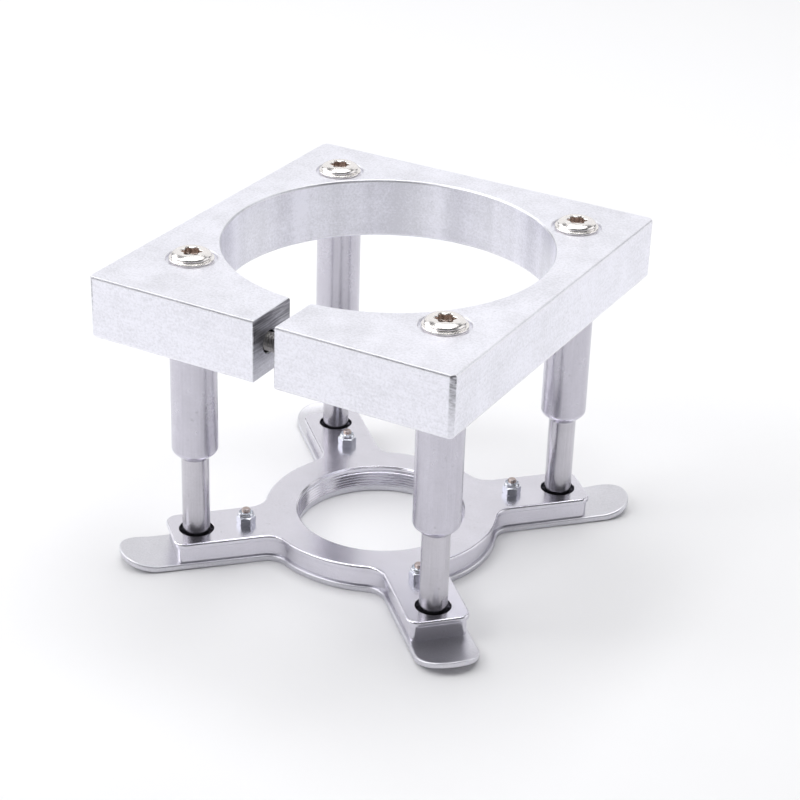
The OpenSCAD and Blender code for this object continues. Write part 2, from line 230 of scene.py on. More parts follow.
# ------------------------------------------------------------------- shapes


def arc(centre, radius, start, stop, steps):
    """Points centre + radius * (cos t, sin t), for angles t from start to stop."""
    t = np.linspace(start, stop, steps)
    return np.asarray(centre) + radius * np.stack([np.cos(t), np.sin(t)], -1)


def inset(outline, depth):
    """Closed outline moved inwards: a point goes along (m + n) / (1 + m.n), for its sides' normals m, n."""
    side = np.roll(outline, -1, 0) - outline
    normal = np.stack([side[:, 1], -side[:, 0]], -1) / np.linalg.norm(side, axis=1, keepdims=True)
    before = np.roll(normal, 1, 0)
    return outline - depth * (normal + before) / (1 + (normal * before).sum(1, keepdims=True))


def soften(points, radius, closed=False, steps=4):
    """Line of points with its corners rounded by (1-s)^2 a + 2s(1-s) p + s^2 b, where a and b lie on the two
    sides of a corner p, and a guard point beside each. Also gives each point's wear, 1 at a corner's middle.
    The radius is one number, or one for each point."""
    p = np.asarray(points, float)
    radius = np.broadcast_to(radius, len(p))[:, None]
    back, ahead = np.roll(p, 1, 0) - p, np.roll(p, -1, 0) - p
    back_long, ahead_long = (np.linalg.norm(v, axis=1, keepdims=True) for v in (back, ahead))
    cosine = -(back * ahead).sum(1) / np.maximum(back_long * ahead_long, 1e-12)[:, 0]
    corner = cosine < math.cos(0.3)
    if not closed:
        corner[[0, -1]] = False
    reach = np.minimum(radius, 0.3 * np.minimum(back_long, ahead_long))
    a, b = p + back * reach / np.maximum(back_long, 1e-12), p + ahead * reach / np.maximum(ahead_long, 1e-12)
    s = np.linspace(0, 1, steps + 1)[None, :, None]
    curve = (1 - s) ** 2 * a[:, None] + 2 * s * (1 - s) * p[:, None] + s**2 * b[:, None]
    fan = np.concatenate([1.5 * a[:, None] - 0.5 * p[:, None], curve, 1.5 * b[:, None] - 0.5 * p[:, None]], 1)
    wear = np.tile(np.r_[0, np.sin(math.pi * s[0, :, 0]), 0], (len(p), 1))
    keep = np.repeat(corner[:, None], steps + 3, 1)
    keep[:, 0] = True
    fan[~corner, 0] = p[~corner]
    return fan[keep], wear[keep]


def bored(corners, radius):
    """Line of a hole, from its top mouth to its bottom mouth, that starts and ends on the faces round it."""
    guard = np.array([HOLE_GUARD, 0])
    return soften([np.add(corners[0], guard), *corners, np.add(corners[-1], guard)], radius)


def denser(points, wear, gap):
    """Line of points with more put in, evenly along its length, so that neighbours are within about gap."""
    along = np.r_[0, np.cumsum(np.linalg.norm(np.diff(points, axis=0), axis=1))]
    even = np.linspace(0, along[-1], int(along[-1] / gap) + 2)
    spots = np.unique(np.r_[along, even])
    spots = spots[np.r_[True, np.diff(spots) > 0.01 * gap]]
    line = np.stack([np.interp(spots, along, points[:, k]) for k in range(points.shape[1])], -1)
    return line, np.interp(spots, along, wear)


class Skin:
    """Gathers the patches of one piece, and joins them into one closed mesh."""

    def __init__(self):
        self.points = []
        self.wear = []
        self.faces = []
        self.total = 0

    def add(self, points, wear, faces):
        """Takes points, the wear of each, and faces that index them."""
        self.points.append(points)
        self.wear.append(wear)
        self.faces.extend((faces + self.total).tolist())
        self.total += len(points)

    def grid(self, points, wear=0.0, loop=(False, True), skip=None):
        """Adds points[u, v] as four-sided faces. loop says which of u and v close on themselves."""
        rows, columns = points.shape[:2]
        index = np.arange(rows * columns).reshape(rows, columns)
        if loop[0]:
            index = np.concatenate([index, index[:1]])
        if loop[1]:
            index = np.concatenate([index, index[:, :1]], 1)
        faces = np.stack([index[:-1, :-1], index[1:, :-1], index[1:, 1:], index[:-1, 1:]], -1)
        faces = faces.reshape(-1, 4) if skip is None else faces[~skip]
        self.add(points.reshape(-1, 3), np.broadcast_to(wear, (rows, columns)).ravel(), faces)

    def fill(self, loops, inner=None, axes=(0, 1)):
        """Fills a flat region with Delaunay triangles: inside the first loop, less those that have all their
        corners on one of the other loops, which are round holes. axes are the two that span its plane."""
        flat = np.concatenate(loops)[:, axes] / MM
        sizes = [len(loop) for loop in loops]
        owner, starts = np.repeat(range(len(loops)), sizes), np.r_[0, np.cumsum(sizes)]
        edges = [
            (int(i), int(j))
            for k in range(len(loops))
            for i, j in zip(range(starts[k], starts[k + 1]), np.roll(range(starts[k], starts[k + 1]), -1))
        ]
        if inner is not None:
            flat, owner = np.concatenate([flat, inner / MM]), np.r_[owner, np.zeros(len(inner), int)]
        made = geometry.delaunay_2d_cdt([Vector(p) for p in flat.tolist()], edges, [], 1, 1e-6)
        spread, faces = np.array([tuple(p) for p in made[0]]) * MM, np.array(made[2])
        owners = owner[[origin[0] for origin in made[3]]][faces]
        in_hole = (owners.min(1) > 0) & (owners.min(1) == owners.max(1))
        points = np.full((len(spread), 3), loops[0][0, ({0, 1, 2} - set(axes)).pop()])
        points[:, axes] = spread
        self.add(points, np.zeros(len(points)), faces[~in_hole])

    def lift(self, change):
        """Moves the points gathered so far: change takes them all and returns them moved."""
        self.points = [change(points) for points in self.points]

    def mesh(self, name, sharp=50):
        """Joins the patches where they meet, turns the faces outwards and marks the sharp edges."""
        mesh = bpy.data.meshes.new(name)
        mesh.from_pydata(np.concatenate(self.points).tolist(), [], self.faces)
        wear = mesh.attributes.new("wear", "FLOAT", "POINT")
        wear.data.foreach_set("value", np.concatenate(self.wear).astype(np.float32))
        shell = bmesh.new()
        shell.from_mesh(mesh)
        bmesh.ops.remove_doubles(shell, verts=shell.verts, dist=WELD)
        bmesh.ops.recalc_face_normals(shell, faces=shell.faces)
        shell.to_mesh(mesh)
        shell.free()
        mesh.shade_smooth()
        mesh.set_sharp_from_angle(angle=math.radians(sharp))
        return mesh


def swung(skin, line, wear, centre, steps=96, ripple=None, closed=False, along_x=False):
    """Adds a surface of revolution: each (radius, height) pair of the line goes round an axis through centre.
    ripple(height, t, line) gives what to add to the radius at angle t."""
    t = np.linspace(0, TURN, steps, endpoint=False)[None, :]
    radius, height = line[:, :1] + 0 * t, line[:, 1:2] + 0 * t
    if ripple is not None:
        radius = radius + ripple(height, t, line)
    across, aside = centre[0] + radius * np.cos(t), centre[1] + radius * np.sin(t)
    points = np.stack([height, across, aside] if along_x else [across, aside, height], -1)
    skin.grid(points, wear[:, None], loop=(closed, True))
    return points


def slab(skin, outline, edge, edge_wear, holes=(), plan_soft=0.0, inner=None, skip_at=(), share=1.0):
    """Adds a plate: its outline is set in and raised along the (inset, height) pairs of its edge, each hole is
    a (centre, line, wear, ripple) that swings its own line, and both faces are filled flat. Wall cells that
    hold a place in skip_at are left open and returned. share scales the inset, for all points or each."""
    deepest = edge[:, 0].max()
    rings, plan_wear = [], None
    for depth, height in edge:
        ring = inset(outline, depth * np.reshape(share, (-1, 1)))
        ring, plan_wear = soften(ring, plan_soft * (1 - 0.8 * depth / deepest), closed=True)
        rings.append(np.c_[ring, np.full(len(ring), height)])
    walls = np.array(rings)
    corners = np.stack([walls[:-1], walls[1:], np.roll(walls, -1, 1)[1:], np.roll(walls, -1, 1)[:-1]], 2)
    skip = np.zeros(corners.shape[:2], bool)
    for place in skip_at:
        low, high = corners.min(2) - 1e-6, corners.max(2) + 1e-6
        skip |= ((low <= place) & (place <= high)).all(-1)
    skin.grid(walls, np.maximum(edge_wear[:, None], plan_wear[None, :]), skip=skip)
    tops, bottoms = [walls[-1]], [walls[0]]
    for centre, line, wear, ripple in holes:
        steps = 192 if line[0, 0] > 20 * MM else 64
        points = swung(skin, line, wear, centre, steps, ripple)
        tops.append(points[0])
        bottoms.append(points[-1])
    skin.fill(tops, inner)
    skin.fill(bottoms, inner)
    return corners[skip]


def piece(skin, node, finish, sharp=50):
    """Makes the piece that stands for a CAD node, on that node's body."""
    made = bpy.data.objects.new(f"{node}_finished", skin.mesh(f"{node}_finished", sharp))
    bpy.context.scene.collection.objects.link(made)
    made.data.materials.append(finish)
    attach(made, frame["nodes"][node]["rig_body"])
    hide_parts(node)
    return made


def turned_piece(node, line, wear, finish, steps, ripple=None, closed=False, sharp=50):
    """Makes a piece by swinging a line round the upright axis of its CAD node."""
    skin = Skin()
    swung(skin, line, wear, plan_middle(node), steps, ripple, closed)
    piece(skin, node, finish, sharp)


def capped(rings):
    """Rings of points, with one more at each end that closes on that end's middle."""
    ends = [np.broadcast_to(end.mean(0), end.shape)[None] for end in (rings[0], rings[-1])]
    return np.concatenate([ends[0], rings, ends[1]])


def on_four_arms(points):
    """Points of an arm that lies along +X, turned by 45, 135, 225 and 315 degrees onto the four arms."""
    turns = [math.pi / 4 + k * math.pi / 2 for k in range(len(LEGS))]
    spins = [np.array([[math.cos(a), math.sin(a)], [-math.sin(a), math.cos(a)]]) for a in turns]
    return np.concatenate([points @ spin for spin in spins])


def thread(pitch, depth, fade=None):
    """Ripple of a screw thread: -depth times a triangle wave of height / pitch - t / turn, times its fade."""

    def ripple(height, t, line):
        wave = np.abs(2 * ((height / pitch - t / TURN) % 1) - 1)
        return -depth * wave * (1 if fade is None else fade(height))

    return ripple


def between(low, high, soft):
    """Fade that is 1 from low to high and falls straight to 0 over soft outside them."""
    return lambda height: np.clip(np.minimum(height - low, high - height) / soft + 1, 0, 1)


def hexagon(t, flats):
    """Radius of a hexagon of that width across its flats, less half the width, at angle t."""
    return flats / 2 / np.cos((t + math.pi / 6) % (math.pi / 3) - math.pi / 6) - flats / 2


# ---------------------------------------------------------------- materials


class Term:
    """A shader socket that adds its own Math nodes when it is used in an expression."""

    def __init__(self, finish, socket):
        self.finish = finish
        self.socket = socket

    def math(self, operation, first, second=None, clamp=False):
        inputs = {0: first} if second is None else {0: first, 1: second}
        return self.finish.node("ShaderNodeMath", {"operation": operation, "use_clamp": clamp}, inputs)

    def __add__(self, other):
        return self.math("ADD", self, other)

    def __mul__(self, other):
        return self.math("MULTIPLY", self, other)

    def __sub__(self, other):
        return self.math("SUBTRACT", self, other)

    def __rsub__(self, other):
        return self.math("SUBTRACT", other, self)

    def __truediv__(self, other):
        return self.math("DIVIDE", self, other)

    def __pow__(self, other):
        return self.math("POWER", self, other)

    def __abs__(self):
        return self.math("ABSOLUTE", self)

    __radd__ = __add__
    __rmul__ = __mul__

    def above(self, level):
        """1 where the value is over the level, otherwise 0."""
        return self.math("GREATER_THAN", self, level)

    def ramp(self, low, high):
        """0 at low, 1 at high, smooth between them."""
        return self.finish.node("ShaderNodeMapRange", {"interpolation_type": "SMOOTHSTEP"},
                                {"Value": self, "From Min": low, "From Max": high})


class Finish:
    """One material around a Principled shader. Its lengths are in millimetres."""

    def __init__(self, name, **constants):
        self.material = bpy.data.materials.new(name)
        self.material.use_nodes = True
        self.tree = self.material.node_tree
        self.tree.nodes.clear()
        self.shader = self.tree.nodes.new("ShaderNodeBsdfPrincipled")
        output = self.tree.nodes.new("ShaderNodeOutputMaterial")
        self.tree.links.new(self.shader.outputs["BSDF"], output.inputs["Surface"])
        for socket, value in constants.items():
            self.shader.inputs[socket.replace("_", " ").title()].default_value = value

    def node(self, kind, settings=None, inputs=None, output=0):
        """Adds a node: its settings first, then the values or links of its sockets."""
        made = self.tree.nodes.new(kind)
        for name, value in (settings or {}).items():
            setattr(made, name, value)
        for name, value in (inputs or {}).items():
            if isinstance(value, Term):
                self.tree.links.new(value.socket, made.inputs[name])
            else:
                made.inputs[name].default_value = value
        return Term(self, made.outputs[output])

    def place(self):
        """The object's own x, y and z, in millimetres."""
        spot = self.node("ShaderNodeTexCoord", output="Object")
        scaled = self.node("ShaderNodeVectorMath", {"operation": "SCALE"}, {0: spot, "Scale": 1 / MM})
        split = self.node("ShaderNodeSeparateXYZ", None, {0: scaled})
        return [Term(self, split.socket.node.outputs[k]) for k in range(3)]

    def noise(self, x, y, z, detail=3.0, roughness=0.55):
        """Noise at a place given by three values, about 0.5."""
        where = self.node("ShaderNodeCombineXYZ", None, {0: x, 1: y, 2: z})
        return self.node("ShaderNodeTexNoise", {"noise_dimensions": "3D"},
                         {"Vector": where, "Scale": 1.0, "Detail": detail, "Roughness": roughness})

    def wear(self):
        """How worn an edge is, from the mesh's own attribute."""
        return self.node("ShaderNodeAttribute", {"attribute_name": "wear"}, output="Fac")

    def blend(self, share, first, second):
        """Colour mixed from first, where share is 0, to second, where it is 1."""
        inputs = {0: share}
        for socket, value in ((6, first), (7, second)):
            inputs[socket] = value if isinstance(value, Term) else (*value, 1.0)
        return self.node("ShaderNodeMix", {"data_type": "RGBA", "clamp_factor": True}, inputs, output=2)

    def feed(self, **terms):
        """Links terms to the shader's sockets; height goes through a Bump node to Normal."""
        height, depth = terms.pop("height", None), terms.pop("depth", 0.01)
        if height is not None:
            terms["normal"] = self.node("ShaderNodeBump", None,
                                        {"Strength": 1.0, "Distance": depth * MM, "Height": height})
        for name, term in terms.items():
            self.tree.links.new(term.socket, self.shader.inputs[name.replace("_", " ").title()])
        return self.material


def shade(rgb, factor):
    """A colour made lighter or darker."""
    return tuple(min(1.0, c * factor) for c in rgb)


def milled_block(colours, clamp):
    """Face-milled aluminium: arcs of the cutter on the flat faces, lines along the sides, rings and upright
    bands in the bore, rough sawn marks in the slit and filed upright corners.
    Painted shade darkens the slit and the upper part of the filed upright corners."""
    rgb = colours.block
    look = Finish("milled_block", metallic=1.0)
    x, y, z = look.place()
    low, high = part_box("clamp_block")
    middle, half = (low.z + high.z) / 2 / MM, (high.z - low.z) / 2 / MM
    flat = abs(z - middle).above(half - 0.25)
    other = 1 - flat
    radius = (x * x + y * y) ** 0.5
    bore = radius.ramp(clamp.bore / MM + 0.7, clamp.bore / MM + 0.2) * other
    slit = (1 - abs(x).above(clamp.slit / MM / 2 + 0.3)) * (1 - y.above(-clamp.bore / MM + 2)) * other
    sides = other * (1 - slit) * (1 - bore)
    ends = [abs(x) - high.x / MM, abs(y - (low.y + high.y) / 2 / MM) - (high.y - low.y) / 2 / MM]
    filed = (ends[0] + ends[1]).ramp(-clamp.corner / MM - 0.5, -clamp.corner / MM - 0.1)
    low_down = z.ramp(high.z / MM - 2, low.z / MM + 2)

    sweep = x + (6400 - (y + 6) * (y + 6)) ** 0.5
    back_sweep = x - (6400 - (y + 6) * (y + 6)) ** 0.5
    arcs = look.noise(sweep * 2.4, y * 0.03, 0.0) + look.noise(back_sweep * 1.5, y * 0.03, 7.0) * 0.6
    lines = look.noise(x * 0.05 + y * 0.03, y * 0.05, z * 2.2)
    rings = look.noise(x * 0.06, y * 0.06, z * 3.0)
    saw = look.noise(y * 0.12, z * 1.9 + y * 0.06, x * 0.2, detail=5.0)
    file_marks = look.noise(x * 0.5, y * 0.5, z * 1.6 + x * 0.9, detail=4.0)
    cloud = look.noise(x * 0.10, y * 0.10, z * 0.10, detail=5.0)
    grain = look.noise(x * 1.3, y * 1.3, z * 1.3, detail=4.0, roughness=0.7)
    speck = look.noise(x * 0.55, y * 0.55, z * 0.55 + 9.0, detail=3.0).ramp(0.66, 0.72)
    witness = (1 - abs(y - 11.0 + x * 0.02).ramp(0.05, 0.25)) * x.above(40.0) * flat

    cut = flat * arcs * 0.5 + sides * lines * 0.8 + bore * rings * 0.8
    turned = y.math("ARCTAN2", y, x)
    bands = look.noise(turned * 3.2, 0.0, 0.0, detail=2.0) - 0.5
    tone = (cloud - 0.5) * 1.2 + (grain - 0.5) * 2.4 + (cut - 0.4) * 0.8 + bore * (bands * 3.5 - 0.3) + 0.70
    plain = look.blend(tone, shade(rgb, 0.80), shade(rgb, 1.05))
    dusty = look.blend(speck * 0.25, plain, shade(rgb, 0.6))
    # Painted shade in the clamp slit, broken up by the saw marks and weaker towards the bottom.
    sawn = look.blend(slit * (saw.ramp(0.3, 0.65) * 0.5 + 0.3) * (1 - low_down * 0.7), dusty, colours.painted_shade)
    # Painted shade on the filed upright corners, strongest at the top and broken up by the file marks.
    painted_corner_shade = (1 - low_down * 0.9) * (0.25 + file_marks.ramp(0.3, 0.7) * 0.6)
    corner = look.blend(filed * sides * painted_corner_shade, sawn, colours.painted_shade)
    edge = look.wear() * (1 - filed * sides) * (1 - slit)
    base = look.blend(edge * 0.8 + witness * 0.4, corner, shade(rgb, 1.12))
    height = cut + slit * saw * 2.0 + grain * 1.6 + filed * sides * file_marks + witness * 1.5
    return look.feed(base_color=base, roughness=0.36 + (cloud - 0.5) * 0.25 + slit * 0.12 + edge * 0.1,
                     height=height, depth=0.018)


def turned_metal(name, rgb, roughness, lines=4.0, depth=0.006, drawn=0.0, dark=0.80, shaded_below=None):
    """Metal off the lathe: fine rings round the axis, faint drawn lines along it, a soft cloud and a grain.
    Its last argument is a height: painted shade darkens it from 9 mm above that height down to it."""
    look = Finish(name, metallic=1.0)
    x, y, z = look.place()
    rings = look.noise(x * 0.05, y * 0.05, z * lines)
    streaks = look.noise(x * 2.5, y * 2.5, z * 0.03)
    cloud = look.noise(x * 0.2, y * 0.2, z * 0.12, detail=5.0)
    grain = look.noise(x * 1.5, y * 1.5, z * 1.5, detail=4.0, roughness=0.7)
    pit = look.noise(x * 0.6, y * 0.6, z * 0.6 + 4.0, detail=3.0).ramp(0.66, 0.72)
    edge = look.wear()
    tone = (rings - 0.5) * 0.35 + (streaks - 0.5) * drawn + (cloud - 0.5) * 0.8 + (grain - 0.5) * 0.9 + 0.55
    plain = look.blend(tone, shade(rgb, dark), shade(rgb, 1.10))
    worn = look.blend(edge * 0.6, look.blend(pit * 0.35, plain, shade(rgb, 0.5)), shade(rgb, 1.2))
    if shaded_below is not None:
        # Painted shade: darker towards the bottom, over the 9 mm above the given height, broken up by the
        # cloud.
        tint = z.ramp(shaded_below / MM + 9, shaded_below / MM) * (0.25 + cloud)
        worn = look.blend(tint * 0.75, worn, shade(rgb, 0.3))
    return look.feed(base_color=worn, roughness=roughness + (cloud - 0.5) * 0.15 + (grain - 0.5) * 0.1,
                     height=rings + streaks * drawn + grain * 1.5, depth=depth)


def satin_plate(name, rgb, roughness, grainy=1.0):
    """Satin plate: a fine grain, long faint scratches both ways, a soft cloud and brighter worn edges."""
    look = Finish(name, metallic=1.0)
    x, y, z = look.place()
    cloud = look.noise(x * 0.08, y * 0.08, z * 0.3, detail=5.0)
    scratch = look.noise(x * 0.05 + y * 3.5, x * 0.03, z * 2.0)
    cross = look.noise(y * 0.05 + x * 2.8, y * 0.03, z * 2.0)
    grain = look.noise(x * 1.8, y * 1.8, z * 1.8, detail=4.0, roughness=0.75)
    pit = look.noise(x * 0.7, y * 0.7, z * 0.7 + 2.0, detail=3.0).ramp(0.67, 0.73)
    edge = look.wear()
    tone = (cloud - 0.5) * 0.9 + (grain - 0.5) * 1.2 * grainy + (scratch - 0.5) * 0.3 + 0.55
    plain = look.blend(tone, shade(rgb, 0.84), shade(rgb, 1.06))
    base = look.blend(edge * 0.7, look.blend(pit * 0.3, plain, shade(rgb, 0.5)), shade(rgb, 1.15))
    height = (scratch + cross * 0.7) * 0.6 + grain * 1.6 * grainy
    return look.feed(base_color=base, roughness=roughness + (cloud - 0.5) * 0.15 + edge * 0.05,
                     height=height, depth=0.007)


def plated(name, rgb, roughness, tint, stained_above):
    """Bright plated steel with a warm stain on what stands above a height."""
    look = Finish(name, metallic=1.0)
    x, y, z = look.place()
    cloud = look.noise(x * 0.6, y * 0.6, z * 0.6, detail=4.0)
    grain = look.noise(x * 4.0, y * 4.0, z * 4.0)
    edge = look.wear()
    tinted = z.ramp(stained_above / MM, stained_above / MM + 0.4)
    plain = look.blend(cloud, shade(rgb, 0.86), shade(rgb, 1.08))
    base = look.blend(edge * 0.5, look.blend(tinted * 0.8, plain, tint), shade(rgb, 1.15))
    return look.feed(base_color=base, roughness=roughness + (cloud - 0.5) * 0.15, height=grain, depth=0.004)


def moulded_nylon(rgb):
    """Nylon: a soft sheen and a faint mottle."""
    look = Finish("moulded_nylon", metallic=0.0, subsurface_weight=0.1)
    x, y, z = look.place()
    mottle = look.noise(x * 2.0, y * 2.0, z * 2.0)
    base = look.blend(mottle, shade(rgb, 0.9), shade(rgb, 1.05))
    return look.feed(base_color=base, roughness=0.35 + mottle * 0.15, height=mottle, depth=0.01)


def painted_floor(rgb):
    """Pale matt floor with the least mottle."""
    look = Finish("pale_floor", metallic=0.0, roughness=0.9)
    x, y, z = look.place()
    mottle = look.noise(x * 0.01, y * 0.01, z)
    return look.feed(base_color=look.blend(mottle, shade(rgb, 0.995), rgb))


# ----------------------------------------------------------------- the clamp


class MakeClampBlock(bpy.types.Operator):
    """Makes the milled clamp block"""

    bl_idname = "spindle_clamp.block"
    bl_label = "Clamp Block"

    def execute(self, context):
        clamp = context.scene.clamp_sizes
        low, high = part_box("clamp_block")
        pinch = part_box("pinch_screw")
        pinch_y, pinch_z = (pinch[0].y + pinch[1].y) / 2, (pinch[0].z + pinch[1].z) / 2
        skin = Skin()
        edge, edge_wear = soften(
            [
                (clamp.edge + 0.6 * MM, low.z), (clamp.edge, low.z), (0, low.z + clamp.edge),
                (0, high.z - clamp.edge), (clamp.edge, high.z), (clamp.edge + 0.6 * MM, high.z),
            ],
            0.2 * MM,
        )
        seat, lip = high.z - clamp.seat, 0.3 * MM
        hole, hole_wear = bored(
            [
                (clamp.counterbore + lip, high.z), (clamp.counterbore, high.z - lip),
                (clamp.counterbore, seat), (clamp.screw_hole, seat), (clamp.screw_hole, low.z + lip),
                (clamp.screw_hole + lip, low.z),
            ],
            0.12 * MM,
        )
        holes = [(plan_middle(f"guide_tube_{leg}"), hole, hole_wear, None) for leg in LEGS]
        half_slit = clamp.slit / 2
        axis_spots = [(x, pinch_y, pinch_z) for x in (low.x, -half_slit, half_slit)]
        outline, share = self.outline(clamp, low, high)
        panels = slab(skin, outline, edge, edge_wear, holes, 0.35 * MM, skip_at=axis_spots, share=share)
        self.drill(skin, clamp, low.x, (pinch_y, pinch_z), panels)
        piece(skin, "clamp_block", milled_block(context.scene.metal_colours, clamp), sharp=40)
        return {"FINISHED"}

    def outline(self, clamp, low, high):
        """The block in plan: anticlockwise round the outside from the slit, then clockwise round the bore.
        Also gives the share of the edge's chamfer at each point, less outside than round the bore."""
        cut, half_slit = clamp.corner, clamp.slit / 2
        outside = [
            (half_slit, low.y), (high.x - cut, low.y), (high.x, low.y + cut), (high.x, high.y - cut),
            (high.x - cut, high.y), (low.x + cut, high.y), (low.x, high.y - cut), (low.x, low.y + cut),
            (low.x + cut, low.y), (-half_slit, low.y),
        ]
        lip = math.asin(half_slit / clamp.bore)
        bore = arc((0, 0), clamp.bore, 1.5 * math.pi - lip, lip - math.pi / 2, 240)
        return np.concatenate([outside, bore]), np.r_[np.full(len(outside), 0.5), np.full(len(bore), 0.7)]

    def drill(self, skin, clamp, left, centre, panels):
        """Swings the two parts of the pinch screw's hole, and fills each open panel round their mouths."""
        half_slit, lip = clamp.slit / 2, 0.4 * MM
        seat = -half_slit - clamp.pinch_seat
        left_hole = [
            (clamp.pinch_bore + lip, left), (clamp.pinch_bore, left + lip), (clamp.pinch_bore, seat),
            (clamp.pinch_hole, seat), (clamp.pinch_hole, -half_slit - lip),
            (clamp.pinch_hole + lip, -half_slit),
        ]
        floor, drill_point = half_slit + clamp.pinch_depth, 1.6 * MM
        right_hole = [
            (clamp.pinch_tap + lip + HOLE_GUARD, half_slit), (clamp.pinch_tap + lip, half_slit),
            (clamp.pinch_tap, half_slit + lip), (clamp.pinch_tap, floor), (0, floor + drill_point),
        ]
        mouths = []
        for hole in (bored(left_hole, 0.15 * MM), soften(right_hole, 0.15 * MM)):
            points = swung(skin, *hole, centre, 64, along_x=True)
            mouths += [points[0]] + ([points[-1]] if hole[0][-1, 0] > 0 else [])
        for panel in panels:
            for mouth in mouths:
                if abs(mouth[0, 0] - panel[0, 0]) < 1e-6:
                    skin.fill([panel, mouth], axes=(1, 2))


class MakePinchScrew(bpy.types.Operator):
    """Makes the threaded cap screw that crosses the slit"""

    bl_idname = "spindle_clamp.pinch_screw"
    bl_label = "Pinch Screw"

    def execute(self, context):
        clamp = context.scene.clamp_sizes
        low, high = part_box("pinch_screw")
        head, shank, tip, socket = (high.y - low.y) / 2, M6_RADIUS, high.x, 3 * MM
        seat, flats, head_edge, end_edge = low.x + 6 * MM, 5 * MM, 0.5 * MM, 0.8 * MM
        corners, wear = soften(
            [
                (0, low.x + socket), (flats / 2, low.x + socket), (flats / 2, low.x + 0.2 * MM),
                (flats / 2 + 0.35 * MM, low.x), (head - head_edge, low.x), (head, low.x + head_edge),
                (head, seat), (shank, seat), (shank, tip - end_edge), (shank - end_edge, tip), (0, tip),
            ],
            0.15 * MM,
        )
        line, wear = denser(corners, wear, clamp.pitch / 8)
        pitch_wave = thread(clamp.pitch, 0.6 * MM, between(seat + 8 * MM, tip - 1.2 * MM, 0.6 * MM))

        def ripple(height, t, line):
            inside = (line[:, :1] < flats / 2 + 0.3 * MM) & (line[:, 1:2] < seat - 1 * MM)
            share = np.clip(line[:, :1] / (flats / 2), 0, 1) * inside
            return share * hexagon(t, flats) + pitch_wave(height, t, line)

        skin = Skin()
        swung(skin, line, wear, ((low.y + high.y) / 2, (low.z + high.z) / 2), 72, ripple, along_x=True)
        colours = context.scene.metal_colours
        piece(skin, "pinch_screw", turned_metal("pinch_steel", shade(colours.screw, 0.35), 0.3), sharp=60)
        return {"FINISHED"}


class MakeLegScrews(bpy.types.Operator):
    """Makes the four domed screws over the legs"""

    bl_idname = "spindle_clamp.leg_screws"
    bl_label = "Leg Screws"

    def execute(self, context):
        finish, clamp = self.finish(context), context.scene.clamp_sizes
        seat = highest("clamp_block") - clamp.seat
        for leg in LEGS:
            node = f"leg_screw_{leg}"
            low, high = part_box(node)
            flange, shank, crown, ledge = (high.x - low.x) / 2, M6_RADIUS, high.z, seat + clamp.flange
            dome_height, step, end_edge = 1.05 * MM, 0.1 * MM, 0.8 * MM
            shoulder, floor, recess = crown - dome_height, crown - clamp.recess_depth, clamp.recess
            t = np.linspace(0, 1, 9)[1:-1]
            dome = np.c_[clamp.crown + t * (clamp.dome - clamp.crown), crown - (crown - shoulder) * t**2]
            corners = [
                (0, floor - 0.25 * MM), (recess * 0.7, floor), (recess, floor),
                (recess, crown - 0.3 * MM), (recess + 0.3 * MM, crown - 0.02 * MM), (clamp.crown, crown),
                *dome.tolist(),
                (clamp.dome, shoulder - 0.15 * MM), (clamp.dome - step, ledge + step),
                (clamp.dome + step / 2, ledge - step), (flange - 0.15 * MM, ledge - step),
                (flange, ledge - 0.35 * MM), (flange, seat + 0.2 * MM), (flange - 0.2 * MM, seat),
                (shank, seat), (shank, low.z + end_edge), (shank - end_edge, low.z), (0, low.z),
            ]
            line, wear = soften(corners, 0.15 * MM)

            def ripple(height, t, line):
                inside = (line[:, 1:2] > floor - 0.3 * MM) & (line[:, :1] < recess + 0.7 * MM)
                share = np.clip(line[:, :1] / recess, 0, 1) * inside
                fade = 1 - np.clip((line[:, :1] - recess - 0.2 * MM) / (0.4 * MM), 0, 1)
                return share * fade * clamp.lobe * np.cos(6 * (t - clamp.recess_turn))

            turned_piece(node, line, wear, finish, 144, ripple, sharp=45)
        return {"FINISHED"}

    def finish(self, context):
        """Polished stainless steel, with a brown film down in the recess."""
        rgb = context.scene.metal_colours.screw
        crown = highest("leg_screw_front_left") / MM
        look = Finish("polished_screw", metallic=1.0)
        x, y, z = look.place()
        cloud = look.noise(x * 0.8, y * 0.8, z * 0.8, detail=4.0)
        rings = look.noise(x * 0.3, y * 0.3, z * 2.0)
        edge = look.wear()
        film = context.scene.metal_colours.film
        deep = z.ramp(crown - 0.2, crown - 1.0)
        reach = [abs(v) - plan_middle("leg_screw_front_right")[0] / MM for v in (x, y)]
        inside = 1 - ((reach[0] * reach[0] + reach[1] * reach[1]) ** 0.5).above(3.7)
        plain = look.blend(cloud, shade(rgb, 0.92), shade(rgb, 1.08))
        filmed = look.blend(deep * inside * (0.3 + cloud * 0.7), plain, film)
        base = look.blend(edge * 0.4, filmed, shade(rgb, 1.15))
        height = rings * 0.3 + cloud
        return look.feed(base_color=base, roughness=0.18 + cloud * 0.12, height=height, depth=0.001)


# ------------------------------------------------------------------ the legs


